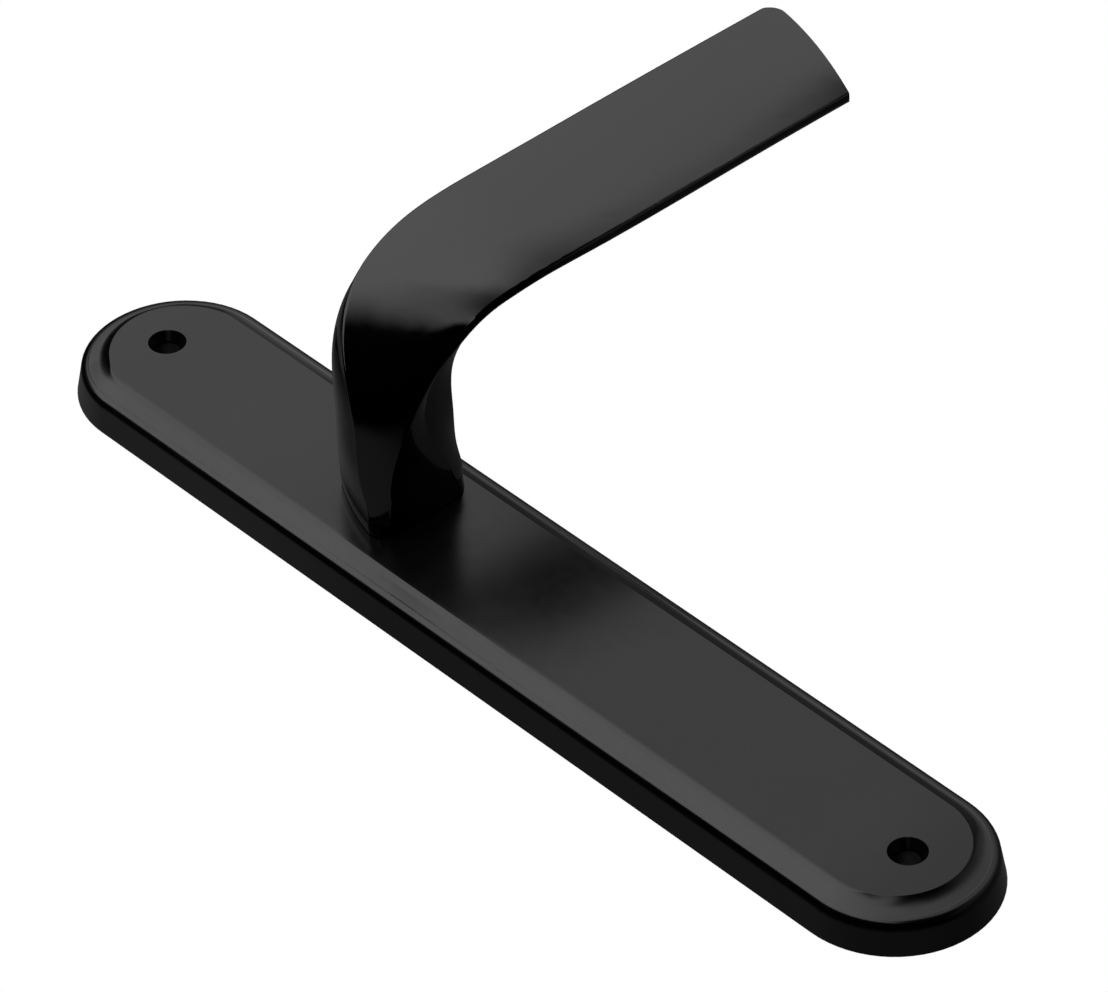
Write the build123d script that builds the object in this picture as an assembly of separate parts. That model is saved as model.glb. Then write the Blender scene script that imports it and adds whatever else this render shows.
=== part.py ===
"""Lever door handle on a long backplate, lever pointing right, sprung to return.

Modelled with the plate lying flat: x across the door, y up the door and z out from the door,
with the origin on the spindle axis at the door's face. Every piece is stood up on export.
"""
from build123d import *
from math import asin, cos, degrees, radians, sin, tan
import os

# Backplate
plate_length = 233.0
plate_width = 40.0
plate_thickness = 8.8
plate_drop = 34.0          # spindle axis above the plate's centre
wall_lean = 1.19           # the side wall leans in by this much
wall_rise = 6.41           # height of the corner between side wall and flat band
cove_inset = 2.93          # foot of the slope up to the raised face
cove_height = 6.62
face_inset = 5.83          # raised face, in from the outline
rim_round = 1.0
cove_round = 3.6
face_round = 1.2
casting_wall = 2.0
rim_wall = 2.4             # side wall at the foot
rib_thickness = 1.4
rib_foot = 1.0             # ribs stay this far off the door
rib_gap = 13.0             # from a boss to the next rib
lower_ribs = 4
screw_pitch = 200.0
screw_hole = 4.6
countersink = 7.4
countersink_depth = 1.6
boss_wall = 2.6

# Lever, given by the sections in LEVER_SECTIONS and stretched to these sizes
neck_depth = 23.0
blade_width = 27.0
blade_height = 58.0        # front edge of the blade off the door
lever_reach = 112.3        # spindle axis to the tip
foot_gap = 0.3
foot_collar = 2.3          # round-cornered band at the neck's foot
collar_bow = 0.5
tip_slant = 12.0
tip_corner = 4.0
tip_bow = 0.5
edge_taper = 0.12         # the blade's long edges draw in by this much at the tip
trim_margin = 3.0         # the trim stays this far outside the neck
blade_rise = 2.05          # the blade's middle, above the spindle axis
edge_spread = 0.5          # the lower facet reaches this far below the outer face

# Spindle drive
spindle_square = 8.1
socket_depth = 27.0
spigot_dia = 14.0
flat_depth = 1.0           # two flats on the spigot, for the drive disc
running_clearance = 0.05
travel = 45.0
grub_height = 17.0
grub_dia = 5.0
grub_length = 6.0
grub_key = 2.5

# Return mechanism
wire = 1.1
spring_radius = 11.25
spring_turns = 2
leg_gap = 0.3
bush_wall = 0.65
bush_flange = 2.4
flange_thickness = 0.8
disc_thickness = 1.2
disc_radius = 12.0
play = 0.1                 # end float between turning faces
nose_radius = 17.0         # stop nose on the drive disc
nose_half = 9.0            # half angle of the nose and of the arm
arm_radius = 14.6
arm_drop = 1.5             # how far the arm's tab bends down
tab_thickness = 1.5
pin_radius = 2.0           # stop pins
pin_ring = 14.6
stop_clearance = 0.1
post_radius = 1.6          # spring anchor post
post_ring = 14.9
washer_thickness = 0.4
washer_radius = 10.2
ring_thickness = 1.0
ring_width = 2.3
groove_depth = 0.3
spigot_end = 0.3           # the spigot stops just short of the door
keeper_thickness = 0.8
keeper_pitch = 44.0
keeper_seat = 2.7          # bosses end this far off the door
keeper_radius = 13.2
keeper_hole = 8.4
ear_width = 7.0
keeper_screw = 3.0
keeper_head = 5.4
head_height = 1.3
thread_clearance = 0.02

# Heights off the door, worked out from the sizes above
ceiling = plate_thickness - casting_wall
foot_height = plate_thickness + foot_gap
spigot_r = spigot_dia / 2
bush_bore_r = spigot_r + running_clearance
bush_r = bush_bore_r + bush_wall
flange_base = ceiling - flange_thickness
disc_base = flange_base - play - disc_thickness
disc_top = disc_base + disc_thickness
washer_base = disc_base - washer_thickness
ring_base = washer_base - ring_thickness
spring_top = disc_base - play
plate_centre = Pos(0, -plate_drop, 0)
side_run = plate_length - plate_width
boss_r = keeper_screw / 2 + 1.7

# Angles about the spindle axis, at rest: the drive disc's nose and arm, and what they meet
nose_angle = -90 + travel / 2
arm_angle = 90 + travel / 2
pin_turn = travel / 2 + nose_half + degrees(asin((pin_radius + stop_clearance) / pin_ring))
anchor_angle = 180.0
post_angle = anchor_angle - degrees(asin((post_radius + wire / 2 + leg_gap) / post_ring))
leg_angle = arm_angle - nose_half - degrees(asin((wire / 2 + leg_gap) / (arm_radius - tab_thickness / 2)))


def edge_profile(outer):
    """Half section of the plate, from its middle out to its rim: the outside or the hollow."""
    half = plate_width / 2
    face = half - face_inset
    if outer:
        rim, foot = (half - wall_lean, wall_rise), (half - cove_inset, cove_height)
        top = (face, plate_thickness)
        section = make_face(Polyline((0, 0), (half, 0), rim, foot, top, (0, plate_thickness), (0, 0)))
        for corner, r in ((rim, rim_round), (foot, cove_round), (top, face_round)):
            section = fillet(section.vertices().sort_by_distance((*corner, 0))[:1], r)
    else:
        section = make_face(Polyline(
            (0, -1), (half - rim_wall, -1), (half - rim_wall, 0),
            (half - wall_lean - casting_wall, wall_rise - 1.9),
            (face, wall_rise - 1.6), (face - casting_wall, ceiling), (0, ceiling), (0, -1)))
    return Plane.XZ * section


def pill(profile):
    """Carry a half section round a straight-sided plate with round ends."""
    straight = extrude(profile + mirror(profile, Plane.YZ), side_run / 2, both=True)
    round_end = revolve(profile, Axis.Z, 180)
    solid = straight + Pos(0, side_run / 2, 0) * round_end
    solid += Pos(0, -side_run / 2, 0) * Rot(0, 0, 180) * round_end
    return plate_centre * solid


def rod(r, low, high):
    return Pos(0, 0, low) * Cylinder(r, high - low, align=(Align.CENTER, Align.CENTER, Align.MIN))


def tube(r_out, r_in, low, high):
    return rod(r_out, low, high) - rod(r_in, low, high)


def ring_post(ring, angle, r, low, high):
    """Round post at a polar place about the spindle axis."""
    return Pos(ring * cos(radians(angle)), ring * sin(radians(angle)), 0) * rod(r, low, high)


def rib_places():
    """Cross ribs, spread below the return mechanism and one above it."""
    ear_end = keeper_pitch / 2 + boss_r
    first = -ear_end - rib_gap
    last = -plate_drop - screw_pitch / 2 + rib_gap
    above = (ear_end + screw_pitch / 2 - plate_drop) / 2
    return [first + (last - first) * i / (lower_ribs - 1) for i in range(lower_ribs)] + [above]


def cast_detail():
    """What stands up inside the hollow: ribs, screw bosses, keeper bosses, pins and post."""
    kept = []
    for y in rib_places():
        kept.append(Pos(0, y, rib_foot) * Box(plate_width, rib_thickness, plate_thickness,
                                              align=(Align.CENTER, Align.CENTER, Align.MIN)))
    for end in (-1, 1):
        screw = Pos(0, end * screw_pitch / 2 - plate_drop, 0)
        kept.append(screw * rod(screw_hole / 2 + boss_wall, 0, plate_thickness))
        kept.append(Pos(0, end * keeper_pitch / 2, 0) * rod(boss_r, keeper_seat, plate_thickness))
        kept.append(ring_post(pin_ring, -90 + end * pin_turn, pin_radius, disc_base - 0.6, plate_thickness))
    kept.append(ring_post(post_ring, post_angle, post_radius, rib_foot, plate_thickness))
    return kept


def make_backplate():
    hollow = pill(edge_profile(outer=False))
    for piece in cast_detail():
        hollow -= piece
    plate = pill(edge_profile(outer=True)) - hollow
    for end in (-1, 1):
        screw = Pos(0, end * screw_pitch / 2 - plate_drop, 0)
        plate -= screw * rod(screw_hole / 2, -1, plate_thickness + 1)
        plate -= screw * Pos(0, 0, plate_thickness - countersink_depth / 2) * Cone(
            screw_hole / 2, countersink / 2, countersink_depth)
        plate -= Pos(0, end * keeper_pitch / 2, 0) * rod(keeper_screw / 2, keeper_seat - 1, ceiling)
    return plate - rod(bush_r, 0, plate_thickness + 1)


# Corners of the lever's section, in order: outer face upper and lower, lower facet end,
# inner lower, inner upper, upper side. Kind "level" is cut at a height and lists (x, y).
# Kind "bend" is cut at a tilt about the bend's axis and lists (distance, y).
# Kind "blade" is cut at a reach and lists (height, y).
bend_x, bend_z = 21.0, 37.0
LEVER_SECTIONS = [
    ("level", 9.1, (-10.5, -4.4), (-8.7, -6.8), (9.8, -7.4), (12.6, -4.7), (8.5, 11.8), (-4.1, 11.3)),
    ("level", 18, (-10.9, -3.3), (-7.2, -7.2), (6.9, -7.3), (11.6, -4.6), (8, 11), (-3.9, 12)),
    ("level", 30.5, (-11.1, -2.16), (-2.7, -7.17), (2.25, -6.65), (10.1, -5.8), (7.6, 10.6), (-4.6, 11.3)),
    ("bend", 0, (31.63, -0.94), (18.98, -7.36), (17.58, -6.83), (11.32, -6.3), (13.1, 9.9), (25.84, 11.22)),
    ("bend", 15, (30.36, 3.19), (15.97, -7.22), (14.97, -7.42), (11.12, -6.5), (12.8, 8.9), (25.59, 11.58)),
    ("bend", 30, (27.35, 8.73), (14.55, -7.54), (13.65, -8.06), (11.47, -7.08), (12.5, 7.6), (24.22, 12.69)),
    ("bend", 62, (21.79, 13.94), (13.77, -8.38), (12.77, -9.08), (12.17, -8.48), (12.6, 4.9), (19.77, 14.25)),
    ("bend", 78, (20.63, 14.95), (13.94, -9.05), (12.75, -9.57), (12.16, -8.97), (12.9, 4), (18.45, 14.84)),
    ("blade", 27, (57.9, 15.6), (52.63, -10.35), (51.5, -10.75), (50.7, -10.15), (50.9, 3), (55.3, 15.4)),
    ("blade", 40, (58, 15.7), (53.4, -11.2), (52.1, -11.6), (51.1, -10.8), (51, 2.5), (55.4, 15.4)),
    ("blade", 76, (58, 15.8), (53.4, -11.4), (52.1, -11.7), (51, -11), (51.2, 2.5), (55.4, 15.5)),
    ("blade", 118, (57.8, 15.7), (53.2, -11.6), (51.9, -12), (50.8, -11.3), (51.6, 2.5), (55.3, 15.5)),
]
kinds = [row[0] for row in LEVER_SECTIONS]
bend_first = kinds.index("bend")
bend_last = bend_first + kinds.count("bend") - 1
# The listed sections' own sizes, which the sizes at the top stretch
listed_neck, listed_width, listed_foot, listed_height, listed_reach = 23.0, 27.0, 9.1, 58.0, 112.3
listed_root = 27.0
# Bow of each side as a share of its width, and radius of each corner, at the foot and on the blade
FOOT_BOW = (0.03, 0.036, 0.04, 0.026, 0.035, 0.036)
BLADE_BOW = (0.048, 0.02, 0.02, 0.022, 0.034, 0.04)
FOOT_CORNER = (0.5, 0.6, 0.8, 0.8, 3.0, 2.2)
BLADE_CORNER = (0.7, 1.1, 0.8, 0.5, 6.0, 0.8)
section_count = 20


def stretch(x, y, z):
    """Carry a point of the listed sections to the lever's present sizes."""
    root = listed_root * neck_depth / listed_neck
    if x < listed_root:
        new_x = x * neck_depth / listed_neck
    else:
        new_x = root + (x - listed_root) * (lever_reach - root) / (listed_reach - listed_root)
    rise = (blade_height - foot_height) / (listed_height - listed_foot)
    return Vector(new_x, y * blade_width / listed_width, foot_height + (z - listed_foot) * rise)


def section_point(kind, place, corner):
    a, y = corner
    if kind == "level":
        return stretch(a, y, place)
    if kind == "bend":
        tilt = radians(place)
        return stretch(bend_x - a * cos(tilt), y, bend_z + a * sin(tilt))
    return stretch(place, y, a)


def ridge_curves():
    """One spline along the lever for each corner, and where the bend and the collar end on it."""
    rows = [[section_point(row[0], row[1], corner) for corner in row[2:]] for row in LEVER_SECTIONS]
    along = [0.0]
    for row, after in zip(rows, rows[1:]):
        along.append(along[-1] + sum((b - a).length for a, b in zip(row, after)) / len(row))
    length = along[-1]
    along = [place / length for place in along]
    ridges = [Edge.make_spline(points, parameters=along) for points in zip(*rows)]
    return ridges, along[bend_first], along[bend_last], foot_collar / length


def section_wire(points, share, collar=False):
    """Six-sided section with bowed sides and rounded corners, foot-like to blade-like."""
    bows = [a + (b - a) * share for a, b in zip(FOOT_BOW, BLADE_BOW)]
    radii = [a + (b - a) * share for a, b in zip(FOOT_CORNER, BLADE_CORNER)]
    middle = sum(points, Vector(0, 0, 0)) / len(points)
    starts, ends = [], []
    for i, point in enumerate(points):
        before, after = points[i - 1] - point, points[(i + 1) % 6] - point
        half_angle = radians(before.get_angle(after)) / 2
        reach = min(radii[i] / tan(half_angle), 0.42 * before.length, 0.42 * after.length)
        starts.append(point + before.normalized() * reach)
        ends.append(point + after.normalized() * reach)
    edges = []
    for i, point in enumerate(points):
        a, b = ends[i], starts[(i + 1) % 6]
        side = points[(i + 1) % 6] - point
        along = side.normalized()
        out = (a + b) / 2 - middle
        out = (out - along * out.dot(along)).normalized()
        bow = collar_bow if collar and i == 0 else bows[i] * side.length
        edges.append(Edge.make_bezier(starts[i], point, a))
        edges.append(Edge.make_bezier(a, (a + b) / 2 + out * bow * 2, b))
    return Wire(edges)


def lever_skin():
    """Smooth body through evenly spaced sections of the six ridges, on a round-cornered collar."""
    ridges, bend_start, bend_end, collar_end = ridge_curves()
    foot = [ridge.position_at(0, PositionMode.PARAMETER) for ridge in ridges]
    sections = []
    for step in range(section_count + 1):
        u = collar_end + (1 - collar_end) * step / section_count
        share = min(1.0, max(0.0, (u - bend_start) / (bend_end - bend_start)))
        points = [ridge.position_at(u, PositionMode.PARAMETER) for ridge in ridges]
        if step == 0:
            points = [Vector(p.X, p.Y, foot_height + foot_collar) for p in points]
            collar_top = section_wire(points, 0, collar=True)
        sections.append(section_wire(points, share))
    collar = Solid.make_loft([section_wire(foot, 0, collar=True), collar_top], ruled=True)
    return Solid.make_loft(sections).fuse(collar)


def tip_prism():
    """Plan outline that trims the blade's end: slanted, slightly bowed, with rounded corners."""
    half = blade_width / 2 + blade_rise
    top, bottom = half, half - blade_width - edge_spread
    end_top, end_bottom = lever_reach, lever_reach - (top - bottom) * tan(radians(tip_slant))
    middle = ((end_top + end_bottom) / 2 + tip_bow, (top + bottom) / 2)
    with BuildLine() as outline:
        Line((-2 * neck_depth, top + trim_margin), (end_top - 1.6 * tip_corner, top + edge_taper))
        Line((end_top - 1.6 * tip_corner, top + edge_taper), (end_top, top))
        ThreePointArc((end_top, top), middle, (end_bottom, bottom))
        Line((end_bottom, bottom), (end_bottom - tip_corner, bottom - edge_taper))
        Line((end_bottom - tip_corner, bottom - edge_taper), (-2 * neck_depth, bottom - trim_margin))
        Line((-2 * neck_depth, bottom - trim_margin), (-2 * neck_depth, top + trim_margin))
    plan = make_face(outline.line)
    plan = fillet([v for v in plan.vertices() if abs(v.X - end_top) < 0.01], 0.9 * tip_corner)
    plan = fillet([v for v in plan.vertices() if abs(v.X - end_bottom) < 0.01], 0.45 * tip_corner)
    return extrude(plan, 2 * blade_height)


def flatted_spigot(top, flats_top):
    """Round spigot under the foot, with two flats for the drive disc."""
    spigot = rod(spigot_r, spigot_end, top)
    for side in (-1, 1):
        spigot -= Pos(side * (2 * spigot_r - flat_depth), 0, 0) * Box(
            2 * spigot_r, 3 * spigot_r, flats_top, align=(Align.CENTER, Align.CENTER, Align.MIN))
    return spigot


def make_lever():
    lever = lever_skin() & tip_prism()
    spigot = flatted_spigot(foot_height + foot_collar / 2, disc_top + play)
    lever += spigot - tube(spigot_r + 1, spigot_r - groove_depth, ring_base, ring_base + ring_thickness)
    lever -= Box(spindle_square, spindle_square, socket_depth,
                 align=(Align.CENTER, Align.CENTER, Align.MIN))
    return lever - Pos(0, 0, grub_height) * Rot(0, 90, 0) * rod(grub_dia / 2, 0, 2 * neck_depth)


def make_grub_screw():
    """Set screw with a hexagon socket and a flat point, in the neck's inner side."""
    start = spindle_square / 2 + play
    body = rod(grub_dia / 2 - thread_clearance, start, start + grub_length)
    body = chamfer(body.edges().filter_by(GeomType.CIRCLE), 0.3)
    key = extrude(RegularPolygon(grub_key / 3 ** 0.5, 6), grub_length)
    body -= Pos(0, 0, start + 0.6 * grub_length) * key
    return Pos(0, 0, grub_height) * Rot(0, 90, 0) * body


def make_neck_bush():
    bush = tube(bush_r, bush_bore_r, flange_base, foot_height - play)
    return bush + tube(bush_r + bush_flange, bush_bore_r, flange_base, ceiling)


def sector(radius, angle, half_angle, low, high):
    """Pie slice about the spindle axis."""
    reach = radius / cos(radians(half_angle))
    a, b = radians(angle - half_angle), radians(angle + half_angle)
    wedge = make_face(Polyline((0, 0), (reach * cos(a), reach * sin(a)),
                               (reach * cos(b), reach * sin(b)), close=True))
    return Pos(0, 0, low) * extrude(wedge, high - low) & rod(radius, low, high)


def make_drive_disc():
    """Keyed disc: a nose below works between the stops, a bent arm above winds the spring."""
    disc = rod(disc_radius, disc_base, disc_top)
    disc += sector(nose_radius, nose_angle, nose_half, disc_base, disc_top)
    disc += sector(arm_radius, arm_angle, nose_half, disc_base, disc_top)
    tab = sector(arm_radius, arm_angle, nose_half, disc_base - arm_drop, disc_top)
    disc += tab - rod(arm_radius - tab_thickness, 0, disc_top + 1)
    return disc - flatted_spigot(disc_top + 1, disc_top + 1)


def make_thrust_washer():
    return tube(washer_radius, spigot_r + running_clearance, washer_base, disc_base)


def make_retaining_ring():
    """External ring, wider opposite its gap, with two eyes for the pliers."""
    groove_r = spigot_r - groove_depth
    low, high = ring_base, ring_base + ring_thickness
    eye_r, eye_out = 0.76 * ring_width, 0.6 * ring_width
    offset = ring_width / 4
    ring = Pos(0, -offset, 0) * rod(groove_r + ring_width - offset / 2, low, high)
    for side in (-1, 1):
        ring += Pos(side * 1.45 * eye_r, groove_r + eye_out, 0) * rod(eye_r, low, high)
    ring -= rod(groove_r, low - 1, high + 1)
    ring -= Pos(0, groove_r + ring_width, 0) * Box(0.9 * eye_r, 3 * ring_width, 20)
    for side in (-1, 1):
        ring -= Pos(side * 1.45 * eye_r, groove_r + eye_out, 0) * rod(0.45 * eye_r, low - 1, high + 1)
    return ring


def make_return_spring():
    """Torsion spring with both ends bent outwards, one beside the arm and one at the post."""
    turns = spring_turns + (anchor_angle - leg_angle) / 360
    pitch = wire + 0.02
    top = spring_top - wire / 2
    path = Helix(pitch, pitch * turns, spring_radius, lefthand=True)
    cut = Plane(origin=path @ 0, z_dir=path % 0)
    coil = sweep(cut * Circle(wire / 2), path=path, is_frenet=True)
    spring = Pos(0, 0, top) * Rot(0, 0, leg_angle) * Rot(180, 0, 0) * coil
    legs = ((leg_angle, top, arm_radius), (anchor_angle, top - pitch * turns, post_ring + post_radius))
    for angle, height, tip in legs:
        leg = Rot(0, 90, 0) * rod(wire / 2, spring_radius, tip)
        leg += Pos(spring_radius, 0, 0) * Sphere(wire / 2)
        spring += Pos(0, 0, height) * Rot(0, 0, angle) * leg
    return spring


def make_spring_keeper():
    """Pressed strip behind the spring, joggled up at both ends to its screws."""
    rise = keeper_seat - keeper_thickness - play
    end = keeper_pitch / 2 + ear_width / 2
    ramp_end = keeper_pitch / 2 - keeper_head / 2 - 1.1
    ramp_start = ramp_end - 1.6 * rise
    path = [(-end, rise), (-ramp_end, rise), (-ramp_start, 0), (ramp_start, 0), (ramp_end, rise), (end, rise)]
    outline = path + [(y, z + keeper_thickness) for y, z in reversed(path)]
    strip = Plane.YZ * make_face(Polyline(*outline, close=True))
    strip = Pos(0, 0, play) * extrude(strip, 2 * keeper_radius, both=True)
    plan = Circle(keeper_radius) + SlotOverall(2 * end, ear_width, rotation=90)
    strip &= extrude(plan, plate_thickness)
    strip -= rod(keeper_hole, -1, plate_thickness)
    for side in (-1, 1):
        strip -= Pos(0, side * keeper_pitch / 2, 0) * rod(keeper_screw / 2 + 0.2, -1, plate_thickness)
    return strip


def make_keeper_screw(side):
    """Small pan-head screw with a cross recess."""
    seat = keeper_seat - keeper_thickness
    base = seat - head_height
    head = rod(keeper_head / 2, base, seat)
    head = fillet(head.edges().filter_by(GeomType.CIRCLE).sort_by(Axis.Z)[0], 0.55 * head_height)
    screw = head + rod(keeper_screw / 2 - thread_clearance, seat, ceiling - 4 * play)
    for turn in (0, 90):
        slot = Box(0.52 * keeper_head, 0.6, head_height)
        screw -= Pos(0, 0, base) * Rot(0, 0, turn) * slot
    return Pos(0, side * keeper_pitch / 2, 0) * screw


PIECES = {
    "backplate": make_backplate(),
    "lever": make_lever(),
    "neck_bush": make_neck_bush(),
    "drive_disc": make_drive_disc(),
    "thrust_washer": make_thrust_washer(),
    "retaining_ring": make_retaining_ring(),
    "return_spring": make_return_spring(),
    "spring_keeper": make_spring_keeper(),
    "keeper_screw_upper": make_keeper_screw(1),
    "keeper_screw_lower": make_keeper_screw(-1),
    "grub_screw": make_grub_screw(),
}

stand_up = Rot(90, 0, 0)
os.makedirs("parts", exist_ok=True)
for name, piece in PIECES.items():
    export_step(stand_up * piece, f"parts/{name}.step")
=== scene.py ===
"""Finish, studio and camera for a lever door handle on a long backplate.

Run in Blender as a script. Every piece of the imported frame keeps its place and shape, and gets its
finish here: black coat outside, bare casting inside, plated steel, drawn spring wire and nylon.
"""
import functools
import math
from collections import namedtuple

import bpy
from mathutils import Matrix, Vector

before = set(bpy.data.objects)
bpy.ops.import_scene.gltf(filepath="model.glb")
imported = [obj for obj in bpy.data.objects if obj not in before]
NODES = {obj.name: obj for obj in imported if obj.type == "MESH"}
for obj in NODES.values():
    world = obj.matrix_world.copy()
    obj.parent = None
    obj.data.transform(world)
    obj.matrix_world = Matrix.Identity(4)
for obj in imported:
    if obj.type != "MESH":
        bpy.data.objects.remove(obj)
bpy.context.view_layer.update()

bl_info = {
    "name": "Lever Door Handle Finish",
    "version": (1, 0, 0),
    "blender": (4, 5, 0),
    "location": "3D View > Sidebar > Door Handle",
    "description": "Coats, metals and studio for a lever handle on a backplate",
    "category": "Object",
}

MM = 0.001
WHITE = (1.0, 1.0, 1.0, 1.0)

# The plate's outline: a straight middle with a half round at each end
PLATE_MIDDLE = -34.0 * MM
STRAIGHT_HALF = 96.5 * MM
END_RADIUS = 20.0 * MM


# ---------------------------------------------------------------- node trees

class Tree:
    """A shader tree with short calls for the nodes used here."""

    def __init__(self, owner):
        owner.use_nodes = True
        self.tree = owner.node_tree
        self.tree.nodes.clear()

    def put(self, socket, value):
        """Links a socket to another one, or sets it to a plain value."""
        if isinstance(value, bpy.types.NodeSocket):
            self.tree.links.new(value, socket)
        else:
            socket.default_value = value

    def add(self, kind, **inputs):
        """New node, its inputs given by name."""
        node = self.tree.nodes.new(kind)
        for key, value in inputs.items():
            self.put(node.inputs[key.replace("_", " ")], value)
        return node

    def operate(self, kind, operation, values):
        """New node of a kind that has operations, its inputs given in order."""
        node = self.tree.nodes.new(kind)
        node.operation = operation
        for socket, value in zip(node.inputs, values):
            self.put(socket, value)
        return node

    def math(self, operation, *values):
        return self.operate("ShaderNodeMath", operation, values).outputs[0]

    def vector(self, operation, *values):
        node = self.operate("ShaderNodeVectorMath", operation, values)
        return node.outputs["Value" if operation == "DOT_PRODUCT" else "Vector"]

    def plus(self, *values):
        return functools.reduce(lambda total, value: self.math("ADD", total, value), values)

    def minus(self, first, second):
        return self.math("SUBTRACT", first, second)

    def times(self, *values):
        return functools.reduce(lambda total, value: self.math("MULTIPLY", total, value), values)

    def blend(self, share, first, second):
        """From first to second as share goes from 0 to 1."""
        return self.plus(self.times(second, share), self.times(first, self.minus(1.0, share)))

    def ramp(self, value, start, end, low=0.0, high=1.0, smooth=True):
        """From low to high, and no further, as value goes from start to end."""
        node = self.add("ShaderNodeMapRange", Value=value)
        if smooth:
            node.interpolation_type = "SMOOTHSTEP"
        for key, number in (("From Min", start), ("From Max", end), ("To Min", low), ("To Max", high)):
            node.inputs[key].default_value = number
        return node.outputs[0]

    def step(self, length, start, end, low=0.0, high=1.0):
        """The same for a length, with start and end in millimetres."""
        return self.ramp(length, start * MM, end * MM, low, high)

    def curve(self, value, points, low, high):
        """Value looked up in a smooth curve through points, whose second numbers lie in low to high."""
        node = self.tree.nodes.new("ShaderNodeFloatCurve")
        curve = node.mapping.curves[0]
        start, end = points[0][0], points[-1][0]
        places = [((at - start) / (end - start), (height - low) / (high - low)) for at, height in points]
        curve.points[0].location = places[0]
        curve.points[-1].location = places[-1]
        for place in places[1:-1]:
            curve.points.new(*place)
        for point in curve.points:
            point.handle_type = "AUTO_CLAMPED"
        node.mapping.update()
        self.put(node.inputs["Value"], self.ramp(value, start, end, smooth=False))
        return self.ramp(node.outputs[0], 0.0, 1.0, low, high, smooth=False)

    def place(self):
        """Position on the object, in metres."""
        return self.add("ShaderNodeTexCoord").outputs["Object"]

    def parts(self, vector):
        """The three parts of a vector."""
        return self.add("ShaderNodeSeparateXYZ", Vector=vector).outputs

    def join(self, x, y, z):
        """The vector of three parts."""
        return self.add("ShaderNodeCombineXYZ", X=x, Y=y, Z=z).outputs[0]

    def normal(self):
        """Direction that the solid's surface faces."""
        return self.add("ShaderNodeNewGeometry").outputs["Normal"]

    def noise(self, place, scale, detail=2.0, stretch=None):
        if stretch:
            mapping = self.add("ShaderNodeMapping", Vector=place)
            mapping.inputs["Scale"].default_value = stretch
            place = mapping.outputs[0]
        return self.add("ShaderNodeTexNoise", Vector=place, Scale=scale, Detail=detail).outputs["Fac"]

    def mix(self, share, first, second, kind="RGBA"):
        """From first to second as share goes from 0 to 1, for colours or for vectors."""
        node = self.tree.nodes.new("ShaderNodeMix")
        node.data_type = kind
        first_input, output = {"RGBA": (6, 2), "VECTOR": (4, 1)}[kind]
        self.put(node.inputs[0], share)
        for i, value in enumerate((first, second)):
            plain_colour = kind == "RGBA" and not isinstance(value, bpy.types.NodeSocket)
            self.put(node.inputs[first_input + i], (*value, 1.0) if plain_colour else value)
        return node.outputs[output]

    def bump(self, height, distance, strength=1.0, under=None):
        """Fine relief, on the given normal or on the solid's own."""
        node = self.add("ShaderNodeBump", Height=height, Distance=distance, Strength=strength)
        if under is not None:
            self.put(node.inputs["Normal"], under)
        return node.outputs[0]

    def surface(self, **inputs):
        shader = self.add("ShaderNodeBsdfPrincipled", **inputs)
        out = self.tree.nodes.new("ShaderNodeOutputMaterial")
        self.put(out.inputs["Surface"], shader.outputs[0])


def new_material(name):
    """A material, and the tree to build in it."""
    material = bpy.data.materials.new(name)
    return material, Tree(material)


def scaled(colour, factor):
    return [factor * part for part in colour]


def finish(material, *names):
    """Puts a material in every slot of these nodes."""
    for name in names:
        slots = NODES[name].data.materials
        if not slots:
            slots.append(material)
        for i in range(len(slots)):
            slots[i] = material


# ---------------------------------------------------------------- black coat

COAT_IOR = 1.5
CAST_SKIN = (0.028, 0.028, 0.03)    # the thin overspray inside the plate

# Slope of the coated edge in degrees against its distance in from the outline in millimetres:
# leaning wall, round shoulder, flat band, cove, and the crisp edge of the raised face
EDGE = ((0, 79.5), (0.85, 79.5), (1.0, 71), (1.06, 66), (1.3, 54), (1.585, 40), (1.9, 24), (2.2, 12),
        (2.6, 6.5), (3.7, 6), (4.3, 12), (4.8, 18), (5.4, 25), (5.9, 31), (6.05, 29), (6.3, 0), (8, 0))

# How much steeper the cove runs round the plate, against how far its side faces up (1) or down (-1)
STEEPNESS = ((-1, 1.0), (-0.86, 1.3), (-0.5, 1.3), (-0.1, 1.0), (0.1, 1.0), (0.45, 1.3), (0.6, 1.2),
             (0.87, 0.72), (1, 0.5))

# A place on the plate. Inset is its distance in from the outline. The outline there faces aside
# (right 1, left -1) and end (up 1, down -1). Radius is the distance from the plate's middle line.
Where = namedtuple("Where", "y z radius inset aside end")


def on_plate(t, place):
    """The Where of a position."""
    x, y, z = t.parts(place)
    height = t.minus(z, PLATE_MIDDLE)
    past = t.math("MAXIMUM", t.minus(t.math("ABSOLUTE", height), STRAIGHT_HALF), 0.0)
    radius = t.math("SQRT", t.plus(t.times(x, x), t.times(past, past)))
    end = t.times(t.math("SIGN", height), t.math("DIVIDE", past, radius))
    return Where(y, z, radius, t.minus(END_RADIUS, radius), t.math("DIVIDE", x, radius), end)


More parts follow.
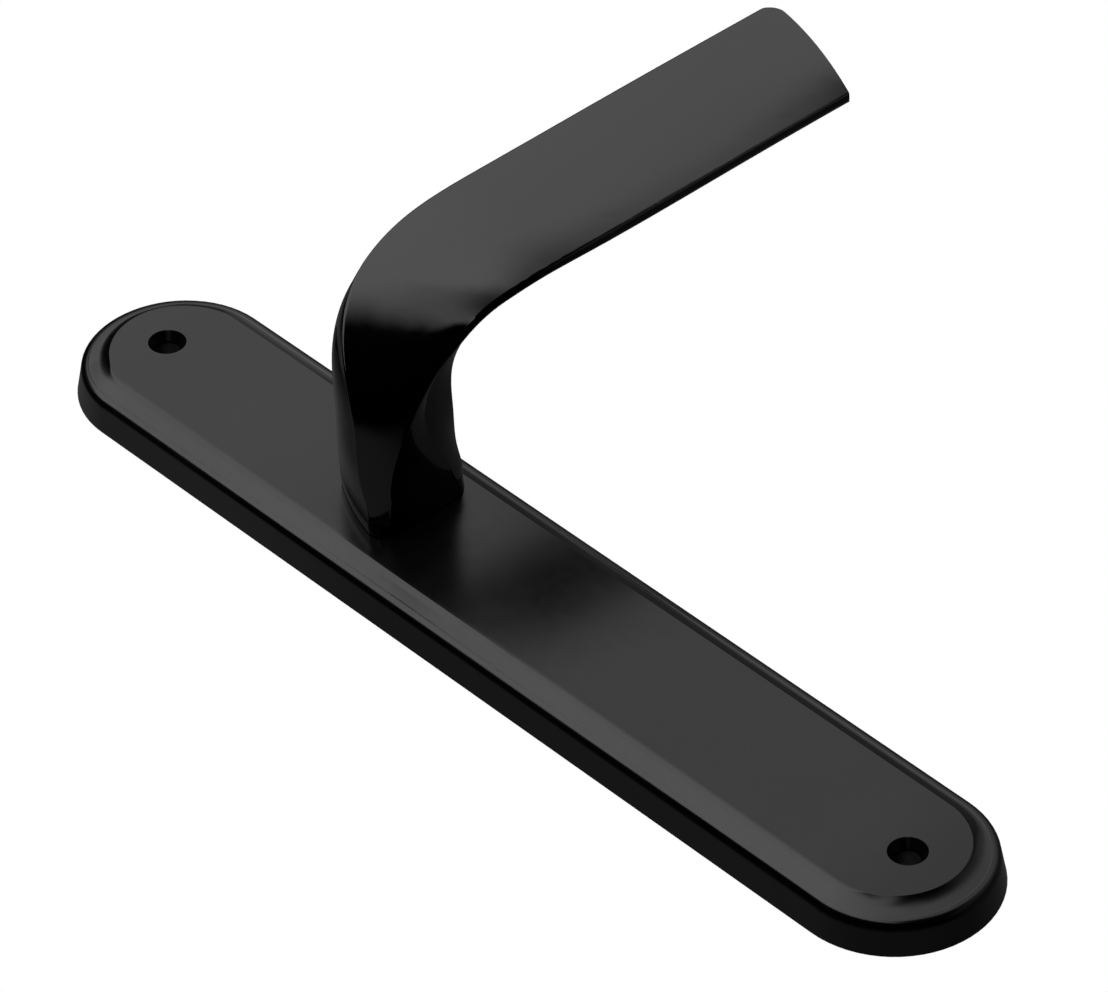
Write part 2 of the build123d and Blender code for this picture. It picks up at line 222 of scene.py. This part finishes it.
def edge_shift(t, at, corner):
    """How much further in, in metres, the EDGE curve is read than the true inset.

    The coat's edge isn't the same all round: the cove comes early on the right and late at the upper
    end, the shoulder comes late at the lower left, and the face starts late at the upper left.
    """
    right_side = t.ramp(at.aside, 0.7, 1.0)
    cove = t.minus(t.step(at.inset, 2.6, 3.4), t.step(at.inset, 4.8, 5.9))
    left_side = t.ramp(at.aside, -0.9, -1.0)
    early_face = t.step(at.inset, 4.4, 5.4, 0.0, 0.55 * MM)
    upper_left = t.times(t.ramp(at.end, 0.2, 0.6), t.ramp(at.aside, 0.2, -0.7, 0.15 * MM, 0.5 * MM))
    late_face = t.step(at.inset, 5.0, 6.0)
    lower_left = t.times(t.step(at.z, -50.0, -125.0), t.ramp(at.aside, -0.2, -0.6))
    late_shoulder = t.minus(t.step(at.inset, 0.9, 1.6, 0.0, 0.3 * MM),
                            t.step(at.inset, 2.0, 3.2, 0.0, 0.3 * MM))
    late_cove = t.minus(t.step(at.inset, 3.2, 4.6), t.step(at.inset, 5.0, 5.9))
    delay = t.minus(t.ramp(at.end, 0.2, 0.7, 0.0, 0.7 * MM), t.times(corner, 0.45 * MM))
    shift = t.plus(t.times(right_side, cove, 0.8 * MM), t.times(left_side, early_face))
    for later in (t.times(upper_left, late_face), t.times(lower_left, late_shoulder),
                  t.times(late_cove, delay)):
        shift = t.minus(shift, later)
    return shift


def edge_normal(t, at):
    """The coat fills and rounds the plate's edge, so its slope follows the EDGE curve."""
    corner = t.times(t.ramp(at.aside, -0.4, -0.75), t.ramp(at.end, -0.25, -0.5))
    read_at = t.math("DIVIDE", t.plus(at.inset, edge_shift(t, at, corner)), MM)
    slope = t.math("RADIANS", t.curve(read_at, EDGE, 0.0, 90.0))
    shallow = t.times(t.ramp(at.aside, -0.1, 0.7), t.step(at.z, 0.0, 45.0, 0.0, 0.45))
    steeper = t.plus(t.minus(t.curve(at.end, STEEPNESS, 0.0, 2.0), shallow), t.times(corner, 0.12))
    in_cove = t.step(at.inset, 3.2, 4.2)
    slope = t.times(slope, t.plus(1.0, t.times(t.minus(steeper, 1.0), in_cove)))
    # on the left side the whole edge leans at least a little
    lean = t.times(t.ramp(at.aside, -0.5, -1.0, 0.0, math.radians(14.0)), t.ramp(read_at, 6.25, 6.1))
    slope = t.math("MAXIMUM", slope, lean)
    steep = t.math("SINE", slope)
    wanted = t.join(t.times(steep, at.aside), t.times(t.math("COSINE", slope), -1.0),
                    t.times(steep, at.end))
    solid = t.normal()
    outside = t.ramp(t.vector("DOT_PRODUCT", solid, wanted), 0.5, 0.7)
    share = t.times(outside, t.step(at.inset, 6.95, 6.85))
    return t.vector("NORMALIZE", t.mix(share, solid, wanted, "VECTOR"))


def bend_normal(t, place):
    """The inner side of the bend faces up a little more than the solid does."""
    x, y, z = t.parts(place)
    raised = t.times(t.step(x, 6.0, 15.0), t.step(x, 27.0, 17.0), t.step(z, 5.0, -3.0),
                     t.step(y, -44.0, -49.0, 0.0, 0.045))
    return t.vector("NORMALIZE", t.vector("ADD", t.normal(), t.join(0.0, 0.0, raised)))


def painted_plate_sheen(t, at):
    """Painted sheen: how strongly the plate reflects, set by place. The face reflects less than the band
    round it. Painted shade lowers the reflection towards the lower end and on the band's downward side,
    and painted highlight raises it up the wall and on the upper right.
    """
    # painted shade and painted highlight: the face reflects more towards the top and less at the lower
    # end
    face = t.minus(t.step(at.z, -20.0, 45.0, 0.322, 0.38), t.step(at.z, -120.0, -146.0, 0.0, 0.05))
    # painted shade on the band where it faces down, painted highlight on its upper right
    facing_down = t.math("MAXIMUM", t.times(at.end, -1.0), 0.0)
    upper_right = t.times(t.ramp(at.aside, 0.7, 1.0), t.step(at.z, -20.0, 40.0, 0.0, 0.25))
    band = t.plus(t.minus(0.5, t.times(facing_down, 0.2)), upper_right)
    # painted highlight: the wall reflects more towards the top
    wall = t.step(at.z, -20.0, 35.0, 0.42, 0.76)
    painted_sheen = t.blend(t.step(at.inset, 1.3, 2.0), wall, band)
    painted_sheen = t.blend(t.step(at.inset, 5.8, 6.4), painted_sheen, face)
    # painted shade: the screw holes' countersinks get no reflection, so they read dark
    hole_painted_dark = t.times(t.step(at.inset, 11.8, 12.4), t.step(at.y, -8.77, -8.65, 0.0, 0.85),
                            t.step(at.y, -6.6, -6.8))
    return t.times(painted_sheen, t.minus(1.0, hole_painted_dark))


def smooth_coat(t, place, look, roughness, spread):
    """Colour and roughness of the coat, slightly uneven, and the height of its orange peel."""
    patches = t.noise(place, 38.0, 3.0)
    fine = t.noise(place, 420.0, 2.0)
    rough = t.plus(t.ramp(patches, 0.3, 0.7, roughness - spread, roughness + spread),
                   t.ramp(fine, 0.3, 0.7, -0.012, 0.012))
    return t.mix(patches, scaled(look.coat, 0.8), scaled(look.coat, 1.2)), rough, fine


def lever_coat(look):
    """Smooth black coat all over."""
    material, t = new_material("lever_coat")
    place = t.place()
    colour, rough, peel = smooth_coat(t, place, look, look.lever_roughness, 0.02)
    normal = t.bump(peel, look.peel, under=bend_normal(t, place))
    t.surface(Base_Color=colour, Roughness=rough, IOR=COAT_IOR, Normal=normal)
    return material


def plate_coat(look):
    """Smooth black coat outside, thin rough overspray on the cast skin inside."""
    material, t = new_material("plate_coat")
    place = t.place()
    at = on_plate(t, place)
    colour, rough, peel = smooth_coat(t, place, look, look.plate_roughness, 0.03)
    normal = t.bump(peel, look.peel, under=edge_normal(t, at))
    hollow = t.times(t.step(at.radius, 17.6, 17.3), t.step(at.y, -6.8, -6.6))
    grain = t.noise(place, 900.0, 4.0)
    normal = t.bump(t.times(grain, hollow), 0.12 * MM, 0.6, normal)
    rough = t.plus(rough, t.times(hollow, 0.2))
    colour = t.mix(t.times(hollow, 0.9), colour, CAST_SKIN)
    # the plate's reflection strength is painted sheen, set by place
    t.surface(Base_Color=colour, Roughness=rough, IOR=COAT_IOR, Specular_IOR_Level=painted_plate_sheen(t, at),
              Normal=normal)
    return material


# ---------------------------------------------------------------- other finishes

def plated_steel(name, colour, roughness):
    """Bright plating: fine even grain and a cloudy tint."""
    material, t = new_material(name)
    place = t.place()
    cloud = t.noise(place, 90.0, 3.0)
    grain = t.noise(place, 1500.0, 3.0)
    t.surface(Base_Color=t.mix(cloud, scaled(colour, 0.85), colour), Metallic=1.0,
              Roughness=t.ramp(cloud, 0.3, 0.7, roughness - 0.07, roughness + 0.07),
              Normal=t.bump(grain, 0.02 * MM, 0.5))
    return material


def spring_wire(name, colour):
    """Drawn wire under a film of oil."""
    material, t = new_material(name)
    lines = t.noise(t.place(), 600.0, 2.0, (1.0, 6.0, 1.0))
    t.surface(Base_Color=t.mix(lines, scaled(colour, 0.7), colour), Metallic=1.0,
              Roughness=t.ramp(lines, 0.3, 0.7, 0.22, 0.38), Coat_Weight=0.3, Coat_Roughness=0.15,
              Normal=t.bump(lines, 0.01 * MM, 0.4))
    return material


def moulded_nylon(name, colour):
    """Spark-eroded mould skin, matt and even."""
    material, t = new_material(name)
    place = t.place()
    spark = t.noise(place, 1100.0, 3.0)
    t.surface(Base_Color=t.mix(t.noise(place, 150.0), scaled(colour, 0.8), colour),
              Roughness=t.ramp(spark, 0.3, 0.7, 0.42, 0.58), IOR=1.53,
              Normal=t.bump(spark, 0.03 * MM, 0.5))
    return material


# ---------------------------------------------------------------- settings

class HandleFinish(bpy.types.PropertyGroup):
    """Finish of the handle's pieces"""
    coat: bpy.props.FloatVectorProperty(
        name="Coat", description="Colour of the black coat", subtype="COLOR",
        default=(0.0015, 0.0015, 0.0017), min=0.0, max=1.0)
    plate_roughness: bpy.props.FloatProperty(
        name="Plate roughness", description="Roughness of the coat on the backplate",
        subtype="FACTOR", default=0.24, min=0.0, max=1.0)
    lever_roughness: bpy.props.FloatProperty(
        name="Lever roughness", description="Roughness of the coat on the lever",
        subtype="FACTOR", default=0.09, min=0.0, max=1.0)
    peel: bpy.props.FloatProperty(
        name="Orange peel", description="Depth of the coat's fine waves", unit="LENGTH",
        default=0.004 * MM, min=0.0, max=MM)
    plating: bpy.props.FloatVectorProperty(
        name="Plating", description="Colour of the zinc-plated steel", subtype="COLOR",
        default=(0.62, 0.63, 0.64), min=0.0, max=1.0)
    black_oxide: bpy.props.FloatVectorProperty(
        name="Black oxide", description="Colour of the grub screw", subtype="COLOR",
        default=(0.05, 0.05, 0.055), min=0.0, max=1.0)
    wire: bpy.props.FloatVectorProperty(
        name="Wire", description="Colour of the return spring", subtype="COLOR",
        default=(0.26, 0.27, 0.29), min=0.0, max=1.0)
    nylon: bpy.props.FloatVectorProperty(
        name="Nylon", description="Colour of the neck bush", subtype="COLOR",
        default=(0.02, 0.02, 0.022), min=0.0, max=1.0)


class HandleStudio(bpy.types.PropertyGroup):
    """Light, floor and camera"""
    key: bpy.props.FloatProperty(
        name="Key", description="Brightness of the large soft wall of light", default=1.9, min=0.0)
    fill: bpy.props.FloatProperty(
        name="Fill", description="Brightness of the low fill on the right", default=0.38, min=0.0)
    floor_drop: bpy.props.FloatProperty(
        name="Floor drop", description="Floor below the spindle axis", unit="LENGTH",
        default=1.25, min=0.2)
    focal_length: bpy.props.FloatProperty(
        name="Lens", description="Focal length, in millimetres", default=221.579, min=1.0)
    distance: bpy.props.FloatProperty(
        name="Distance", description="Camera to the point it looks at", unit="LENGTH",
        default=1.278325, min=0.1)
    roll: bpy.props.FloatProperty(
        name="Roll", description="Turn of the camera about its line of sight", subtype="ANGLE",
        default=math.radians(-1.87))


# ---------------------------------------------------------------- pieces

class HANDLE_OT_backplate(bpy.types.Operator):
    """Coat the backplate, with a rough cast skin inside"""
    bl_idname = "handle.backplate"
    bl_label = "Backplate"

    def execute(self, context):
        finish(plate_coat(context.scene.handle_finish), "backplate")
        return {"FINISHED"}


class HANDLE_OT_lever(bpy.types.Operator):
    """Coat the lever"""
    bl_idname = "handle.lever"
    bl_label = "Lever"

    def execute(self, context):
        finish(lever_coat(context.scene.handle_finish), "lever")
        return {"FINISHED"}


class HANDLE_OT_bush(bpy.types.Operator):
    """Nylon bush that the lever turns in"""
    bl_idname = "handle.bush"
    bl_label = "Neck bush"

    def execute(self, context):
        finish(moulded_nylon("nylon", context.scene.handle_finish.nylon), "neck_bush")
        return {"FINISHED"}


class HANDLE_OT_return_parts(bpy.types.Operator):
    """Plated disc, washer, ring and keeper of the return mechanism"""
    bl_idname = "handle.return_parts"
    bl_label = "Return mechanism"

    def execute(self, context):
        finish(plated_steel("plated_steel", context.scene.handle_finish.plating, 0.34),
               "drive_disc", "thrust_washer", "retaining_ring", "spring_keeper")
        return {"FINISHED"}


class HANDLE_OT_spring(bpy.types.Operator):
    """Return spring of drawn wire"""
    bl_idname = "handle.spring"
    bl_label = "Return spring"

    def execute(self, context):
        finish(spring_wire("spring_wire", context.scene.handle_finish.wire), "return_spring")
        return {"FINISHED"}


class HANDLE_OT_screws(bpy.types.Operator):
    """Keeper screws and grub screw"""
    bl_idname = "handle.screws"
    bl_label = "Screws"

    def execute(self, context):
        look = context.scene.handle_finish
        finish(plated_steel("screw_plating", look.plating, 0.27),
               "keeper_screw_upper", "keeper_screw_lower")
        finish(plated_steel("grub_black_oxide", look.black_oxide, 0.38), "grub_screw")
        return {"FINISHED"}


# ---------------------------------------------------------------- studio

# The camera looks along SIGHT at LOOK_AT, up from below the handle on its left
SIGHT = Vector((0.50979, 0.63837, 0.57671))
LOOK_AT = Vector((0.028609, 0.0, -0.011699))
OUT_OF_DOOR = Vector((0.0, -1.0, 0.0))
SENSOR_WIDTH = 36.0
NEAREST_SEEN = 0.01

# Lower edge of the wall of light: how far up it lies, against how far right, both over the way out
LOWER_EDGE = ((-1.4, -1.75), (-0.8, -1.0), (-0.59, -0.7), (-0.5, -0.58), (-0.4, -0.45),
              (-0.32, -0.35), (-0.24, -0.27), (-0.16, -0.2), (-0.09, -0.16), (0.05, -0.17),
              (0.15, -0.11), (0.25, -0.04), (0.35, 0.03), (0.45, 0.1), (0.55, 0.12),
              (0.65, 0.1), (0.75, 0.05), (1.0, -0.02), (1.6, -0.1))
BELOW_EDGE, ABOVE_EDGE = -0.18, 0.21    # the wall fades out between these heights over its edge

FLOOR_HALF = 6.0
FLOOR_GLOW = 0.5    # keeps the floor pale where little light falls


def studio_light(t, key, fill):
    """To the handle, a dark room with one large soft wall of light."""
    x, y, z = t.parts(t.add("ShaderNodeTexCoord").outputs["Generated"])
    out = t.times(y, -1.0)
    depth = t.math("MAXIMUM", out, 0.03)
    right = t.math("DIVIDE", x, depth)
    up = t.math("DIVIDE", z, depth)
    above = t.minus(up, t.curve(right, LOWER_EDGE, -2.0, 0.2))
    # the wall dims to the right, and stops on the far left and short of straight up
    wall = t.times(t.ramp(above, BELOW_EDGE, ABOVE_EDGE), t.ramp(right, -0.1, 1.9, key, 0.21 * key),
                   t.ramp(right, -0.95, -0.75), t.ramp(z, 0.83, 0.72))
    low = t.times(t.ramp(right, 0.5, 0.8), t.ramp(up, 0.1, -1.5, fill, 0.4 * fill),
                  t.ramp(above, ABOVE_EDGE, BELOW_EDGE))
    front = t.times(t.plus(wall, low), t.ramp(out, 0.05, 0.4))
    # dim light from behind, with a soft panel that lights the plate's hollow back
    behind = t.times(t.ramp(x, 0.9, -0.7, 0.05, 0.15), t.ramp(out, -0.18, -0.42))
    panel = t.ramp(out, -0.84, -0.95, 0.0, 0.8)
    rim = t.times(t.ramp(x, 0.2, 0.6, 0.0, 0.07), t.ramp(out, 0.2, 0.0))
    return t.plus(front, t.math("MAXIMUM", t.plus(behind, panel), rim))


def studio_world(key, fill):
    """The studio's light, and plain white where the camera sees past the handle."""
    world = bpy.data.worlds.new("studio")
    bpy.context.scene.world = world
    t = Tree(world)
    light = t.add("ShaderNodeBackground", Color=WHITE, Strength=studio_light(t, key, fill))
    paper = t.add("ShaderNodeBackground", Color=WHITE, Strength=1.0)
    seen = t.add("ShaderNodeLightPath").outputs["Is Camera Ray"]
    mixer = t.tree.nodes.new("ShaderNodeMixShader")
    for socket, value in zip(mixer.inputs, (seen, light.outputs[0], paper.outputs[0])):
        t.put(socket, value)
    t.add("ShaderNodeOutputWorld", Surface=mixer.outputs[0])


def studio_floor(drop):
    """Pale matt floor, well below the handle and kept out of its reflections."""
    corners = [(side * FLOOR_HALF, end * FLOOR_HALF, -drop)
               for side, end in ((-1, -1), (1, -1), (1, 1), (-1, 1))]
    mesh = bpy.data.meshes.new("floor")
    mesh.from_pydata(corners, [], [(0, 1, 2, 3)])
    floor = bpy.data.objects.new("floor", mesh)
    bpy.context.scene.collection.objects.link(floor)
    material, t = new_material("floor_paper")
    shade = t.mix(t.noise(t.place(), 3.0), (0.86, 0.86, 0.86), (0.9, 0.9, 0.9))
    t.surface(Base_Color=shade, Roughness=0.9, Emission_Color=WHITE, Emission_Strength=FLOOR_GLOW)
    mesh.materials.append(material)
    floor.visible_glossy = False
    floor.visible_diffuse = False


def studio_camera(studio):
    """Camera on the photo's line of sight."""
    camera = bpy.data.objects.new("camera", bpy.data.cameras.new("camera"))
    bpy.context.scene.collection.objects.link(camera)
    sight = SIGHT.normalized()
    level = sight.cross(OUT_OF_DOOR).normalized()
    upright = level.cross(sight)
    right = level * math.cos(studio.roll) + upright * math.sin(studio.roll)
    up = upright * math.cos(studio.roll) - level * math.sin(studio.roll)
    turn = Matrix((right, up, -sight)).transposed().to_4x4()
    camera.matrix_world = Matrix.Translation(LOOK_AT - sight * studio.distance) @ turn
    camera.data.sensor_fit = "HORIZONTAL"
    camera.data.sensor_width = SENSOR_WIDTH
    camera.data.lens = studio.focal_length
    camera.data.clip_start = NEAREST_SEEN
    bpy.context.scene.camera = camera


class HANDLE_OT_stage(bpy.types.Operator):
    """Pale floor, soft light and the camera"""
    bl_idname = "handle.stage"
    bl_label = "Stage"

    def execute(self, context):
        studio = context.scene.handle_studio
        studio_world(studio.key, studio.fill)
        studio_floor(studio.floor_drop)
        studio_camera(studio)
        context.scene.view_settings.view_transform = "Standard"
        return {"FINISHED"}


# ---------------------------------------------------------------- panel and registration

OPERATORS = (
    HANDLE_OT_stage, HANDLE_OT_backplate, HANDLE_OT_lever, HANDLE_OT_bush,
    HANDLE_OT_return_parts, HANDLE_OT_spring, HANDLE_OT_screws,
)


class HANDLE_PT_panel(bpy.types.Panel):
    """Door handle tools"""
    bl_idname = "HANDLE_PT_panel"
    bl_label = "Door Handle"
    bl_space_type = "VIEW_3D"
    bl_region_type = "UI"
    bl_category = "Door Handle"

    def draw(self, context):
        column = self.layout.column(align=True)
        for group in (context.scene.handle_finish, context.scene.handle_studio):
            for key in group.__annotations__:
                column.prop(group, key)
            column.separator()
        for operator in OPERATORS:
            column.operator(operator.bl_idname)


CLASSES = (HandleFinish, HandleStudio, *OPERATORS, HANDLE_PT_panel)


def register():
    for cls in CLASSES:
        bpy.utils.register_class(cls)
    bpy.types.Scene.handle_finish = bpy.props.PointerProperty(type=HandleFinish)
    bpy.types.Scene.handle_studio = bpy.props.PointerProperty(type=HandleStudio)


def unregister():
    del bpy.types.Scene.handle_finish
    del bpy.types.Scene.handle_studio
    for cls in reversed(CLASSES):
        bpy.utils.unregister_class(cls)


def main():
    """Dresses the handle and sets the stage."""
    register()
    for operator in OPERATORS:
        group, name = operator.bl_idname.split(".")
        getattr(getattr(bpy.ops, group), name)()


if __name__ == "__main__":
    main()
